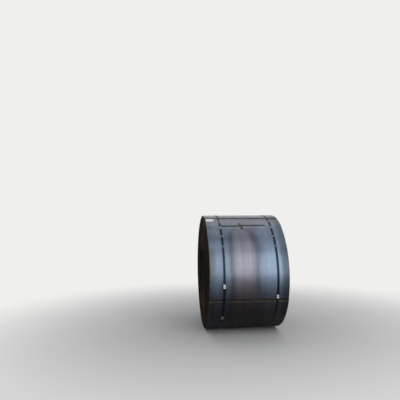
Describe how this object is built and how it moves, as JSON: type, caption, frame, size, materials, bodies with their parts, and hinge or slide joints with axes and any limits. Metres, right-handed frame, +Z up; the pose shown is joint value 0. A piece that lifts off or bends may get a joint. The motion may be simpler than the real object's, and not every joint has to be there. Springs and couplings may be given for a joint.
{
  "type": "strapped hot-rolled steel coil",
  "caption": "Wide steel strip wound into a heavy coil lying on its side, with an open eye, turns that show on both ends, and steel straps held by crimped seals.",
  "frame": {"origin": "on the axis of the coil's eye, in the middle of the strip's width", "axes": "+X along the axis of the eye, towards the end with one seal on its strap; +Z up as the coil lies; the side with the strip's tail end and the seals faces -Y"},
  "size_m": [1.258, 1.9358, 1.9451],
  "materials": {
    "mill_scale_steel": "satin",
    "strap_steel": "satin",
    "zinc_seal": "satin"
  },
  "bodies": {
    "root": {"coil": "mill_scale_steel", "strap_left": "strap_steel", "strap_right": "strap_steel", "seal_left_upper": "zinc_seal", "seal_left_lower": "zinc_seal", "seal_right": "zinc_seal"}
  },
  "joints": []
}
